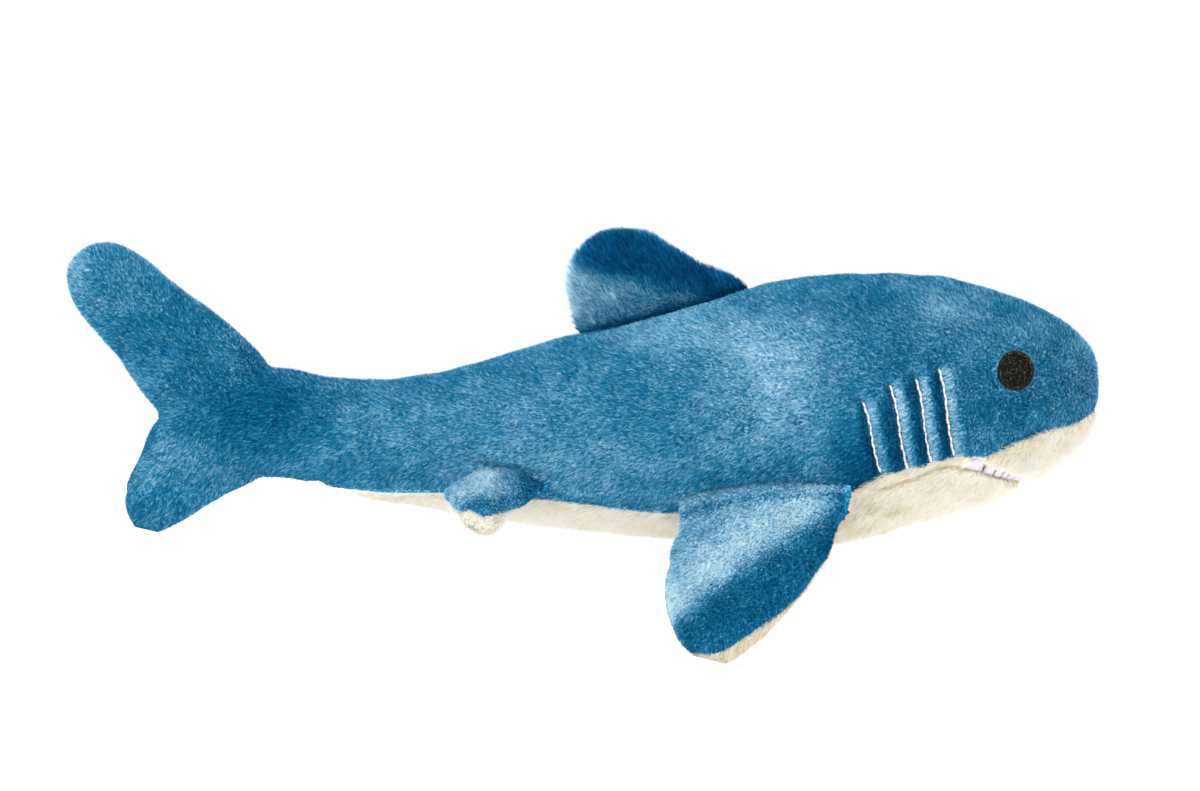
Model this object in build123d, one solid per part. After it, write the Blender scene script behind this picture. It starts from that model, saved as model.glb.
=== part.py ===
from build123d import *
from math import cos, pi, sin
import os

# Driving dimensions in millimetres. The toy is drawn level: +X to the nose, +Z up, middle at X = 0.
# At the end it is pitched nose-up onto the floor, standing on both pectoral tips and the lower tail lobe.
FABRIC = 2.5         # plush fabric, backing and nap together
EASE = 0.15          # room between a panel and the stuffing behind it
CLEAR = 0.4          # room between pieces that turn against each other
PITCH = 12.9         # degrees nose-up
FLOOR = -64.3        # height of the floor under the drawn origin, after pitching
WAIST = 0.45         # height of the widest point of a body section, as a share of its height
RING_POINTS = 16     # points round a body or fin section

# Body sections from the tail stock to the nose: x, top, bottom, half width
BODY = [
    (-134, 16, 0, 4.5), (-127, 25, -9, 8.5), (-116, 26.5, -13.5, 12), (-104, 25, -14, 13.5),
    (-88, 22.5, -17, 16), (-66, 21.5, -20.9, 20), (-40, 26, -25.5, 26), (-10, 34, -29.5, 32.5),
    (20, 42, -32, 38), (50, 51, -34.5, 41.5), (78, 57, -35.5, 42.5), (104, 58, -31.5, 41),
    (126, 56, -25.5, 37.5), (146, 51, -19, 32), (160, 45.5, -11.5, 26), (170, 40, -4.5, 19.5),
    (176, 34, 3.5, 13), (179, 27, 12, 6),
]

# Seam between blue and cream, from the tail stock to the nose: x, z
FLANK_SEAM = [
    (-93, -15), (-72, -18), (-48, -18.4), (-12, -20.7), (20, -24.4), (45, -25.6), (70, -23.6), (92, -18.5), (104, -12.4),
    (118, -8.7), (131, -5.5), (141, -5.4), (151, -1), (163, 2.8), (173, 5.5), (181, 11.5),
]
# Lower edge of the snout panel: the cheek seam back to the pectoral fin, then the mouth line
CHEEK_SEAM = [(98, -19), (114.8, -13.4), (128, -9.2), (134, -10.2)]
MOUTH_LINE = [(134, -10.2), (143, -12.6), (158, -16.5)]
TEETH_HEIGHT = 3.6
TEETH_FRONT = 151
TEETH_NOTCHES = [138, 142, 145.5, 148.5]

EYE_AT = (150.5, 23.7)
EYE_SIZE = (12.2, 13.2)
GILLS = [(124.2, 24.7, 128.4, -5.0), (116.2, 21.2, 120.4, -7.2), (107.2, 19.1, 112.2, -9.6),
         (97.8, 13.2, 102.8, -10.8)]
THREAD = 1.2         # width of the gill stitching

TAIL_HINGE_X = -106.0
TAIL_HINGE_RADIUS = 15.5

# Tail lobes in the side view: rear edge and front edge from the stock to the tip, thickness, taper
UPPER_LOBE = (
    [(-141, 0), (-148.5, 9.5), (-164.6, 31.3), (-175.5, 44.5), (-180, 56), (-174.5, 66.8)],
    [(-103, 12), (-112.4, 30.6), (-126.3, 42.5), (-147.2, 59.3), (-161, 68.5), (-174.5, 66.8)],
    20, 0.15,
)
LOWER_LOBE = (
    [(-141, 12), (-148.5, 7.5), (-154.2, -3.5), (-159.5, -15), (-159.5, -25.5), (-151, -32)],
    [(-103, -2), (-113, -14.8), (-126.3, -21.2), (-136, -27), (-143, -30.8), (-151, -32)],
    20, 0.25,
)
# Fins drawn flat from the hinge line up: rear edge and front edge to the tip, thickness, taper
DORSAL = (
    [(-2, 0), (-2.4, 8), (0.5, 15.5), (7, 21.5), (15.5, 24)],
    [(53.5, 0), (45.5, 8), (37, 15), (27, 21.5), (15.5, 24)],
    14, 0,
)
PECTORAL = (
    [(0, 0), (-4.5, 17.5), (-5.2, 34), (0, 48.5), (10.5, 55.5)],
    [(58.5, 0), (53, 16), (39.5, 35), (24.5, 49.5), (10.5, 55.5)],
    13.5, 0,
)
PELVIC = (
    [(0, 0), (-4.4, 9), (-5.4, 15), (-0.5, 21)],
    [(27, 0), (17, 9), (8.5, 16.5), (-0.5, 21)],
    12.5, 0,
)
FIN_STATIONS = 9     # sections from a fin's hinge line to its tip
TIP = 0.97           # share of the edge where the last section stands
# Hinge lines: rear end x, y outwards, z, front end x, y, z, then degrees the fin droops
PECTORAL_ROOT = (33.8, 33.0, -29.9, 94, 41.6, -22.5, 60)
PELVIC_ROOT = (-39, 29.8, -15.9, -12, 33.1, -20.1, 35)
DORSAL_ROOT = (-1.2, 0, 44.4, 56.2, 0, 60.1, -90)


def ring(x, top, bottom, half_width, inset):
    """Egg-shaped body section with its widest point a little below the middle."""
    waist = bottom + WAIST * (top - bottom)
    points = []
    for i in range(RING_POINTS):
        turn = 2 * pi * i / RING_POINTS
        height = top - waist if sin(turn) > 0 else waist - bottom
        points.append((x, (half_width - inset) * cos(turn), waist + (height - inset) * sin(turn)))
    return make_face(Spline(*points, periodic=True))


def body(inset):
    """Body from the tail stock to the nose, drawn in by inset all over."""
    tail, nose = BODY[0][0], BODY[-1][0]
    squeeze = 1 - 2 * inset / (nose - tail)
    rings = []
    for x, top, bottom, half_width in BODY:
        rings.append(ring(tail + inset + (x - tail) * squeeze, top, bottom, half_width, inset))
    return loft(rings)


def lens(rear, front, thickness, inset):
    """Flat-lying fin section between its rear and front edge."""
    middle = (rear + front) * 0.5
    chord = front - rear
    along = chord.normalized() * max(chord.length / 2 - inset, 1.2)
    up = Vector(0, 0, max(thickness / 2 - inset, 0.5))
    points = []
    for i in range(RING_POINTS):
        turn = 2 * pi * i / RING_POINTS
        points.append(middle + along * cos(turn) + up * sin(turn))
    return make_face(Spline(*points, periodic=True))


def pad(outline, inset, round_root=True):
    """Stuffed fin in its own XY plane; a round root edge is centred on the hinge line."""
    rear_points, front_points, thickness, taper = outline
    rear, front = Spline(*rear_points), Spline(*front_points)
    faces = []
    if round_root:
        radius = thickness / 2 - inset
        for turn in (1.25, 0.85, 0.42):
            drop = Vector(0, -radius * sin(turn), 0)
            faces.append(lens(rear @ 0 + drop, front @ 0 + drop, 2 * radius * cos(turn) + 2 * inset, inset))
    end = TIP - 2.2 * inset / rear.length
    for i in range(FIN_STATIONS + 1):
        share = end * i / FIN_STATIONS
        depth = thickness * (1 - taper * share) * (1 - share ** 4) ** 0.5
        faces.append(lens(rear @ share, front @ share, depth, inset))
    return loft(faces)


def root_plane(root, side):
    """Plane with X along a fin's hinge line and Y towards its tip; Z points to the left fins' tops."""
    x0, y0, z0, x1, y1, z1, droop = root
    along = Vector(x1 - x0, side * (y1 - y0), z1 - z0).normalized()
    down = Vector(0, side * cos(droop * pi / 180), -sin(droop * pi / 180))
    span = (down - along * down.dot(along)).normalized()
    return Plane(origin=(x0, side * y0, z0), x_dir=along, z_dir=along.cross(span))


def side_face(points, corners):
    """Face in the side view under a seam line."""
    seam = Spline(*[(x, 0, z) for x, z in points])
    outline = Polyline(*[(x, 0, z) for x, z in [points[-1]] + corners + [points[0]]])
    return make_face(seam + outline)


def across(face):
    """Side-view face run right through the toy."""
    return extrude(face, 90, both=True)


def half(side):
    return Pos(0, side * 100, 0) * Box(600, 200, 400)


def under_flank_seam():
    return across(side_face(FLANK_SEAM, [(181, -90), (-93, -90)]))


def under_mouth():
    """Below the cheek seam and the mouth line, and all of the cream behind them."""
    seam = Spline(*[(x, 0, z) for x, z in CHEEK_SEAM])
    mouth = Polyline(*[(x, 0, z) for x, z in MOUTH_LINE])
    rest = Polyline((158, 0, -16.5), (158, 0, -90), (-95, 0, -90), (-95, 0, 0), (98, 0, 0), (98, 0, -19))
    return across(make_face(seam + mouth + rest))


def mouth_slot():
    """Band above the mouth line where the teeth show, tallest behind."""
    (corner_x, corner_z), (middle_x, middle_z), (end_x, end_z) = MOUTH_LINE
    front_z = middle_z + (end_z - middle_z) * (TEETH_FRONT - middle_x) / (end_x - middle_x)
    crest = (corner_x + 3.5, corner_z + TEETH_HEIGHT - 1)
    top = [crest, (TEETH_FRONT, front_z + 1.8), (TEETH_FRONT, front_z)]
    points = [(corner_x, corner_z)] + top + [(middle_x, middle_z), (corner_x, corner_z)]
    return across(make_face(Polyline(*[(x, 0, z) for x, z in points])))


def teeth_notches():
    """Slanted nicks in the lower edge that leave single teeth on one strip."""
    slope = (MOUTH_LINE[2][1] - MOUTH_LINE[0][1]) / (MOUTH_LINE[2][0] - MOUTH_LINE[0][0])
    notches = []
    for x in TEETH_NOTCHES:
        low = MOUTH_LINE[0][1] + slope * (x - MOUTH_LINE[0][0])
        notches.append(Pos(x, 0, low) * Rot(0, 25, 0) * Box(0.6, 180, 2.6))
    return notches


def tail_joint(radius):
    """Everything behind the upright cylinder the tail turns on."""
    cylinder = Pos(TAIL_HINGE_X, 0, 0) * Cylinder(radius, 300)
    return cylinder + Pos(TAIL_HINGE_X - 150, 0, 0) * Box(300, 300, 300)


def torso_nodes():
    in_front = body(0) - tail_joint(TAIL_HINGE_RADIUS + CLEAR)
    hollow = body(FABRIC)
    shell = in_front - hollow
    cream = shell & under_flank_seam()
    blue = shell - under_flank_seam()
    slot = mouth_slot()
    lips = cream - slot
    mouth = under_mouth()
    teeth_band = (body(0.4) - body(1.6)) & slot
    return {
        "torso_stuffing": body(FABRIC + EASE) - tail_joint(TAIL_HINGE_RADIUS + CLEAR),
        "side_panel_left": blue & half(1),
        "side_panel_right": blue & half(-1),
        "belly_panel": lips & mouth,
        "snout_panel": lips - mouth,
        "teeth_strip": teeth_band - teeth_notches(),
    }


def embroidery():
    """Eyes and gill stitching, standing just proud of the side panels."""
    proud = body(-0.5) - body(1.0)
    eye_x, eye_z = EYE_AT
    eye = extrude(Plane.XZ * Pos(eye_x, eye_z) * Ellipse(EYE_SIZE[0] / 2, EYE_SIZE[1] / 2), 90, both=True)
    threads = []
    for top_x, top_z, low_x, low_z in GILLS:
        line = Line((top_x, top_z), (low_x, low_z))
        threads.append(extrude(Plane.XZ * trace(line, THREAD), 90, both=True))
    stitches = Compound(children=[proud & thread for thread in threads])
    nodes = {}
    for side, name in ((1, "left"), (-1, "right")):
        nodes["eye_" + name] = proud & eye & half(side)
        nodes["gill_stitches_" + name] = stitches & half(side)
    return nodes


def tail_solid(inset):
    stock = body(inset) & tail_joint(TAIL_HINGE_RADIUS)
    lobes = pad(UPPER_LOBE, inset, round_root=False) + pad(LOWER_LOBE, inset, round_root=False)
    return stock + Plane.XZ.location * lobes


def tail_nodes():
    shell = tail_solid(0) - tail_solid(FABRIC)
    return {
        "tail_stuffing": tail_solid(FABRIC + EASE),
        "tail_panel_left": shell & half(1),
        "tail_panel_right": shell & half(-1),
    }


def fin_nodes(name, outline, plane, over, under):
    """Two sewn panels and the stuffing of one fin."""
    shell = pad(outline, 0) - pad(outline, FABRIC)
    above = Pos(0, 0, 50) * Box(300, 300, 100)
    below = Pos(0, 0, -50) * Box(300, 300, 100)
    return {
        name + over: plane.location * (shell & above),
        name + under: plane.location * (shell & below),
        name + "_stuffing": plane.location * pad(outline, FABRIC + EASE),
    }


def toy():
    nodes = torso_nodes() | embroidery() | tail_nodes()
    nodes |= fin_nodes("dorsal", DORSAL, root_plane(DORSAL_ROOT, 1), "_panel_right", "_panel_left")
    for side, name, faces in ((1, "_left", ("_top", "_underside")), (-1, "_right", ("_underside", "_top"))):
        nodes |= fin_nodes("pectoral" + name, PECTORAL, root_plane(PECTORAL_ROOT, side), *faces)
        nodes |= fin_nodes("pelvic" + name, PELVIC, root_plane(PELVIC_ROOT, side), *faces)
    return nodes


def stand(nodes):
    """Pitch the toy onto the floor and put the origin under the middle of its bounding box."""
    underground = Pos(0, 0, FLOOR - 50) * Box(900, 400, 100)
    placed = {}
    for name, solid in nodes.items():
        placed[name] = Rot(0, -PITCH, 0) * solid - underground
    low = min(part.bounding_box().min.X for part in placed.values())
    high = max(part.bounding_box().max.X for part in placed.values())
    home = Pos(-(low + high) / 2, 0, -FLOOR)
    return {name: home * part for name, part in placed.items()}


os.makedirs("parts", exist_ok=True)
for name, part in stand(toy()).items():
    export_step(part, "parts/" + name + ".step")
    box = part.bounding_box()
    print(name, len(part.solids()), round(part.volume), box.min, box.max)
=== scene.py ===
import math

import bpy
import numpy as np
from mathutils import Matrix, Vector
from mathutils.bvhtree import BVHTree


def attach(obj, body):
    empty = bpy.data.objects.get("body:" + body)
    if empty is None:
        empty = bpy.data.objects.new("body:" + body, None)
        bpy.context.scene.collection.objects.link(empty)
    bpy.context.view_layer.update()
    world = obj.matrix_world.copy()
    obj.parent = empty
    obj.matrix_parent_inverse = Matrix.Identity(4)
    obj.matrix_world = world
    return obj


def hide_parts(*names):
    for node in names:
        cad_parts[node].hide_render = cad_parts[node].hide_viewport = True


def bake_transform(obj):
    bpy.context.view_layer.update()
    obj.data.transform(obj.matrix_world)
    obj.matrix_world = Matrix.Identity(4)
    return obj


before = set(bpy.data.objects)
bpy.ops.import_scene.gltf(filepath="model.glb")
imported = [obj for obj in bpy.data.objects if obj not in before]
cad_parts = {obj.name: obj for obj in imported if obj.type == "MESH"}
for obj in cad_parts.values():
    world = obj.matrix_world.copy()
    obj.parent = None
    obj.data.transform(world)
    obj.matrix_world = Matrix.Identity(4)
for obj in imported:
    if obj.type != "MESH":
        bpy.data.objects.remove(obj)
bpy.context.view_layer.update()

# Everything is drawn level in millimetres, nose to +X, then pitched nose-up and set on the floor.
PITCH = math.radians(12.9)
HOME = np.array([8.345, 0.0, 64.3])

# Seams as x, z points; the mouth is the front part of the jaw seam
FLANK_SEAM = [
    (-93, -15), (-72, -18), (-48, -18.4), (-12, -20.7), (20, -24.4), (45, -25.6), (70, -23.6),
    (92, -18.5), (104, -12.4), (118, -8.7), (131, -5.5), (141, -5.4), (151, -0.8),
    (163, 3.6), (173, 7.0), (181, 13.5),
]
JAW_SEAM = [(98, -19), (114.8, -13.4), (128, -9.2), (134, -10.2), (143, -12.6), (158, -16.5)]
MOUTH_CORNER_X = 132.5
MOUTH_FRONT_X = 151

EYE_AT = (149.6, 23.7)
EYE_RADII = (6.1, 6.6)
# Gill lines from the front one back: top x, z, bottom x, z
GILLS = [(124.2, 24.7, 128.4, -5.0), (116.2, 21.2, 120.4, -7.2), (107.2, 19.1, 112.2, -9.6),
         (97.8, 13.2, 102.8, -10.8)]

# Hinge lines of the dorsal and left fins: rear end x, y, z, front end x, y, z, degrees drooping
PECTORAL_ROOT = (33.8, 33.0, -29.9, 94, 41.6, -22.5, 60)
PELVIC_ROOT = (-39, 29.8, -15.9, -12, 33.1, -20.1, 35)
DORSAL_ROOT = (-1.2, 0, 44.4, 56.2, 0, 60.1, -90)
DORSAL_LIFT = 8      # how far the dorsal fin's hinge line is above the back

BODY_VOXEL = 1.2
FIN_VOXEL = 1.0
SKIN = 1.6           # thickness of a body panel without its pile
FIN_SKIN = 1.2


# ---------------------------------------------------------------- frames
def turn_to_level(vectors):
    v = np.asarray(vectors)
    c, s = math.cos(PITCH), math.sin(PITCH)
    return np.stack([v[:, 0] * c + v[:, 2] * s, v[:, 1], v[:, 2] * c - v[:, 0] * s], 1)


def to_level(points):
    """Row frame in metres to level millimetres."""
    return turn_to_level(np.asarray(points) * 1000 - HOME)


def turn_to_row(vectors):
    v = np.asarray(vectors)
    c, s = math.cos(PITCH), math.sin(PITCH)
    return np.stack([v[:, 0] * c - v[:, 2] * s, v[:, 1], v[:, 2] * c + v[:, 0] * s], 1)


def from_level(points):
    """Level millimetres to the row frame in metres."""
    return (turn_to_row(points) + HOME) / 1000


def row_point(x, y, z):
    return tuple(from_level(np.array([[x, y, z]], float))[0])


class FinFrame:
    """A fin's own axes: u along the hinge line, v to the tip, n out of the left fins' upper face."""

    def __init__(self, root, side):
        x0, y0, z0, x1, y1, z1, droop = root
        self.origin = np.array([x0, side * y0, z0], float)
        self.u = np.array([x1 - x0, side * (y1 - y0), z1 - z0], float)
        self.length = np.linalg.norm(self.u)
        self.u /= self.length
        turn = math.radians(droop)
        down = np.array([0, side * math.cos(turn), -math.sin(turn)])
        self.v = down - self.u * (down @ self.u)
        self.v /= np.linalg.norm(self.v)
        self.n = np.cross(self.u, self.v)

    def local(self, points):
        return (points - self.origin) @ np.stack([self.u, self.v, self.n], 1)

    def level(self, points):
        return self.origin + points @ np.stack([self.u, self.v, self.n])


# Each fin's axes, half its thickness at the rear and front of the root, and how deep its crease reaches
ROOTS = [(FinFrame(DORSAL_ROOT, 1), 5.5, 5.5, 9)]
for side in (1, -1):
    ROOTS += [(FinFrame(PECTORAL_ROOT, side), 6.2, 4.2, 10), (FinFrame(PELVIC_ROOT, side), 4.8, 4.0, 9)]


# ---------------------------------------------------------------- mesh arrays
class Skin:
    """A closed surface: vertices in level millimetres and quads, where a triangle repeats a vertex."""

    def __init__(self, points, quads):
        self.points, self.quads = points, quads

    def normals(self):
        a, b, c, d = (self.points[self.quads[:, i]] for i in range(4))
        face = np.cross(c - a, d - b)
        out = np.zeros_like(self.points)
        for i in range(4):
            np.add.at(out, self.quads[:, i], face)
        return out / np.maximum(np.linalg.norm(out, axis=1, keepdims=True), 1e-9)

    def edges(self):
        q = self.quads
        pairs = np.concatenate([q[:, [0, 1]], q[:, [1, 2]], q[:, [2, 3]], q[:, [3, 0]]])
        return np.unique(np.sort(pairs, 1), axis=0)

    def smooth(self, rounds, strength=0.5):
        """Moves vertices towards their neighbours and back out, which smooths without shrinking."""
        edges = self.edges()
        count = np.bincount(edges.ravel(), minlength=len(self.points))[:, None]
        for half_round in range(2 * rounds):
            total = np.zeros_like(self.points)
            np.add.at(total, edges[:, 0], self.points[edges[:, 1]])
            np.add.at(total, edges[:, 1], self.points[edges[:, 0]])
            pull = strength if half_round % 2 == 0 else -strength * 1.04
            self.points = self.points + pull * (total / np.maximum(count, 1) - self.points)


def joined_arrays(nodes):
    """Vertices and triangles of several CAD nodes as one pair of arrays."""
    points, faces, base = [], [], 0
    for node in nodes:
        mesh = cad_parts[node].data
        co = np.empty(len(mesh.vertices) * 3)
        mesh.vertices.foreach_get("co", co)
        mesh.calc_loop_triangles()
        tri = np.empty(len(mesh.loop_triangles) * 3, np.int64)
        mesh.loop_triangles.foreach_get("vertices", tri)
        points.append(co.reshape(-1, 3))
        faces.append(tri.reshape(-1, 3) + base)
        base += len(mesh.vertices)
    return np.concatenate(points), np.concatenate(faces)


def largest_island(count, quads):
    """The quads of the biggest connected part."""
    parent = np.arange(count)
    edges = np.concatenate([quads[:, [0, 1]], quads[:, [1, 2]], quads[:, [2, 3]]])
    while True:
        low = np.minimum(parent[edges[:, 0]], parent[edges[:, 1]])
        before = parent.copy()
        np.minimum.at(parent, edges[:, 0], low)
        np.minimum.at(parent, edges[:, 1], low)
        parent = parent[parent]
        if (parent == before).all():
            break
    main = np.bincount(parent[quads[:, 0]], minlength=count).argmax()
    return quads[parent[quads[:, 0]] == main]


def remeshed(nodes, voxel):
    """One closed skin round the named CAD nodes."""
    points, faces = joined_arrays(nodes)
    mesh = bpy.data.meshes.new("work")
    mesh.from_pydata(points.tolist(), [], faces.tolist())
    work = bpy.data.objects.new("work", mesh)
    bpy.context.scene.collection.objects.link(work)
    bpy.ops.object.select_all(action="DESELECT")
    bpy.context.view_layer.objects.active = work
    work.select_set(True)
    mesh.remesh_voxel_size = voxel / 1000
    bpy.ops.object.voxel_remesh()
    mesh = work.data
    co = np.empty(len(mesh.vertices) * 3)
    mesh.vertices.foreach_get("co", co)
    quads = np.array([tuple(p.vertices) if len(p.vertices) == 4 else tuple(p.vertices) + (p.vertices[-1],)
                      for p in mesh.polygons], np.int64)
    bpy.data.objects.remove(work)
    points = to_level(co.reshape(-1, 3))
    quads = largest_island(len(points), quads)
    used, quads = np.unique(quads, return_inverse=True)
    return Skin(points[used], quads.reshape(-1, 4))


def curve(points):
    """Smooth z(x) through a seam's points."""
    xs, zs = np.array(points, float).T
    slopes = np.gradient(zs, xs)

    def at(x):
        x = np.clip(x, xs[0], xs[-1])
        i = np.clip(np.searchsorted(xs, x) - 1, 0, len(xs) - 2)
        h = xs[i + 1] - xs[i]
        t = (x - xs[i]) / h
        rise = (t ** 3 - 2 * t ** 2 + t) * slopes[i] + (t ** 3 - t ** 2) * slopes[i + 1]
        return (2 * t ** 3 - 3 * t ** 2 + 1) * zs[i] + (3 * t ** 2 - 2 * t ** 3) * zs[i + 1] + rise * h

    return at


flank = curve(FLANK_SEAM)
jaw = curve(JAW_SEAM)


def waves(points, size, seed):
    """Smooth unevenness from -1 to 1 with lumps of about that size."""
    rng = np.random.default_rng(seed)
    total = np.zeros(len(points))
    for _ in range(9):
        direction = rng.normal(size=3)
        direction /= np.linalg.norm(direction)
        pitch = 2 * math.pi / (size * rng.uniform(1.2, 2.6))
        total += np.sin(points @ direction * pitch + rng.uniform(0, 2 * math.pi))
    return total / 4.5


def bump(distance, width):
    """1 at no distance, fading to 0 over about the width."""
    return np.exp(-(distance / width) ** 2)


def step(x, low, high):
    """0 below low, 1 above high, with a soft rise between."""
    t = np.clip((x - low) / (high - low), 0, 1)
    return t * t * (3 - 2 * t)


# ---------------------------------------------------------------- body
def along_gill(p, gill):
    """Share of the way down a gill line, and distance ahead of it."""
    x0, z0, x1, z1 = gill
    t = (p[:, 2] - z0) / (z1 - z0)
    return t, p[:, 0] - (x0 + t * (x1 - x0))


def gill_relief(p):
    """Tucks along the gill stitching and the puffs between them."""
    out = np.zeros(len(p))
    beside = step(np.abs(p[:, 1]), 12, 20)
    across = []
    for gill in GILLS:
        t, off = along_gill(p, gill)
        ends = step(t, -0.12, 0.08) * step(-t, -1.15, -0.96)
        out -= 2.3 * bump(off, 1.7) * ends
        across.append((off, ends))
    for (front, fade), (rear, _) in zip(across, across[1:]):
        share = np.clip(rear / np.maximum(rear - front, 1e-6), 0, 1)
        out += 1.7 * np.sin(math.pi * share ** 0.65) * fade * (rear > 0) * (front < 0)
    first, last = across[0], across[-1]
    out += 0.9 * bump(first[0] - 5, 4) * first[1] + 0.9 * bump(last[0] + 5, 4) * last[1]
    return out * beside


def mouth_top(x):
    """How far above the mouth line the upper lip starts."""
    return np.interp(x, [MOUTH_CORNER_X, MOUTH_CORNER_X + 3.5, MOUTH_FRONT_X], [0.3, 3.5, 2.3])


def seam_distance(p):
    """Distance over the seam between blue flank and cream, far away on the tail."""
    slope = (flank(p[:, 0] + 1) - flank(p[:, 0] - 1)) / 2
    off = (p[:, 2] - flank(p[:, 0])) / np.sqrt(1 + slope ** 2)
    return np.where(p[:, 0] > -96, off, 99)


def back_distance(p):
    """Distance from the seam down the middle of the back and round the tail."""
    return np.where(p[:, 2] > np.where(p[:, 0] > -96, 10, -99), p[:, 1], 99)


def jaw_parts(p):
    """Height over the jaw seam or mouth line, and how much each of them applies."""
    near = step(p[:, 0], 100, 106) * step(-p[:, 0], -158, -154) * (p[:, 2] < 6)
    sewn = step(-p[:, 0], -MOUTH_CORNER_X - 1, -MOUTH_CORNER_X + 2)
    return p[:, 2] - jaw(p[:, 0]), near * sewn, near * (1 - sewn)


def root_crease(p, width):
    """Where the body folds in along the sewn roots of the fins."""
    total = np.zeros(len(p))
    for fin, rear, front, depth in ROOTS:
        u, v, n = fin.local(p).T
        ends = step(u, -5, 1) * step(fin.length - u, -5, 1)
        half = rear + (front - rear) * step(u, 0.4 * fin.length, fin.length)
        total += bump(np.abs(n) - half, width) * ends * (np.abs(v) < depth)
    return np.minimum(total, 1)


def slot_share(p):
    """1 inside the mouth slot and 0 outside it."""
    over, _, mouth = jaw_parts(p)
    top = mouth_top(p[:, 0])
    return mouth * step(over, -1.0, 0.2) * step(top - over, -0.6, 0.8)


def shape_body(skin):
    """Gives the body its seams, tucks, mouth and lumps; returns it with the broad lumps alone."""
    skin.smooth(6)
    p = skin.points
    normal = skin.normals()
    move = 0.8 * waves(p, 22, 3) + 0.3 * waves(p, 8, 4) - 0.9
    pucker = 1 + 0.35 * np.sin(p[:, 0] * 0.8 + 2 * waves(p, 12, 5))
    move -= 1.3 * bump(seam_distance(p), 1.9) * pucker * (1 - 0.6 * step(p[:, 0], 158, 170))
    move -= 1.5 * root_crease(p, 1.6)
    move -= 0.9 * bump(back_distance(p), 1.7)
    over, sewn, mouth = jaw_parts(p)
    move -= 1.3 * bump(over, 1.2) * sewn
    move -= 2.6 * slot_share(p)
    move += 1.2 * bump(over - mouth_top(p[:, 0]) - 3, 3) * mouth
    move += gill_relief(p)
    plain = p + normal * (0.8 * waves(p, 22, 3) - 0.9)[:, None]
    skin.points = p + normal * move[:, None]
    skin.smooth(1)
    return Skin(plain, skin.quads)


def snap(skin, curve_at, where, axis=2):
    """Slides the vertices nearest a seam onto it, so that the panels meet in a clean line."""
    p = skin.points
    off = p[:, axis] - curve_at(p[:, 0])
    near = (np.abs(off) < 0.5 * BODY_VOXEL) & where(p)
    p[near, axis] -= off[near]


def split_body(skin):
    """Quads of each panel."""
    snap(skin, flank, lambda p: p[:, 0] > -92)
    snap(skin, jaw, lambda p: (p[:, 0] > 98) & (p[:, 0] < 156) & (p[:, 2] < flank(p[:, 0]) - 1))
    snap(skin, lambda x: 0 * x, lambda p: (p[:, 2] > flank(p[:, 0])) | (p[:, 0] < -92), axis=1)
    c = skin.points[skin.quads].mean(1)
    cream = (c[:, 2] < flank(c[:, 0])) & (c[:, 0] > -92)
    snout = cream & (c[:, 0] > 98) & ((c[:, 2] > jaw(c[:, 0])) | (c[:, 0] > 157))
    return {
        "flank_left": ~cream & (c[:, 1] >= 0),
        "flank_right": ~cream & (c[:, 1] < 0),
        "belly": cream & ~snout,
        "snout": snout,
    }


# ---------------------------------------------------------------- pieces from skins
def flow(normals, direction):
    """Nap direction laid into the surface."""
    direction = np.broadcast_to(direction, normals.shape)
    flat = direction - normals * (direction * normals).sum(1, keepdims=True)
    return flat / np.maximum(np.linalg.norm(flat, axis=1, keepdims=True), 1e-6)


def piece(name, skin, chosen, nap, tone, length, thickness):
    """A closed fabric panel from some of a skin's quads; the pile grows on its outside only."""
    used, quads = np.unique(skin.quads[chosen], return_inverse=True)
    quads = quads.reshape(-1, 4)
    outer = skin.points[used]
    normal = skin.normals()[used]
    count = len(outer)
    sides = np.concatenate([quads[:, [0, 1]], quads[:, [1, 2]], quads[:, [2, 3]], quads[:, [3, 0]]])
    sides = sides[sides[:, 0] != sides[:, 1]]
    key = np.sort(sides, 1)
    _, first, times = np.unique(key, axis=0, return_index=True, return_counts=True)
    rim = sides[first[times == 1]]
    points = np.concatenate([outer, outer - normal * thickness])
    faces = [tuple(dict.fromkeys(q)) for q in quads.tolist()]
    faces += [tuple(i + count for i in dict.fromkeys(q[::-1])) for q in quads.tolist()]
    faces += [(b, a, a + count, b + count) for a, b in rim.tolist()]
    mesh = bpy.data.meshes.new(name)
    mesh.from_pydata(from_level(points).tolist(), [], [f for f in faces if len(f) > 2])
    mesh.shade_smooth()
    pile = np.concatenate([length[used], np.zeros(count)])
    add_attribute(mesh, "pile", "FLOAT", pile)
    add_attribute(mesh, "rest", "FLOAT_VECTOR", points)
    add_attribute(mesh, "nap", "FLOAT_VECTOR", np.tile(turn_to_row(flow(normal, nap[used])), (2, 1)))
    add_attribute(mesh, "tone", "FLOAT", np.tile(tone[used], 2))
    obj = bpy.data.objects.new(name, mesh)
    bpy.context.scene.collection.objects.link(obj)
    return obj


def add_attribute(mesh, name, kind, values):
    attribute = mesh.attributes.new(name, kind, "POINT")
    attribute.data.foreach_set("vector" if kind == "FLOAT_VECTOR" else "value",
                               np.asarray(values, np.float32).ravel())


def gill_painted_light(p):
    """Painted highlight just ahead of each gill line, painted shade before the next line and just behind each
    one.
    """
    tone = np.zeros(len(p))
    for gill in GILLS:
        t, off = along_gill(p, gill)
        ends = step(t, -0.12, 0.08) * step(-t, -1.12, -0.98)
        before_next = 0.75 * bump(off - 5.6, 1.8) * (gill is not GILLS[0])
        tone += ends * (1.1 * bump(off - 2.1, 1.8) - before_next - 0.6 * bump(off + 2, 1.6))
    return tone


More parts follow.
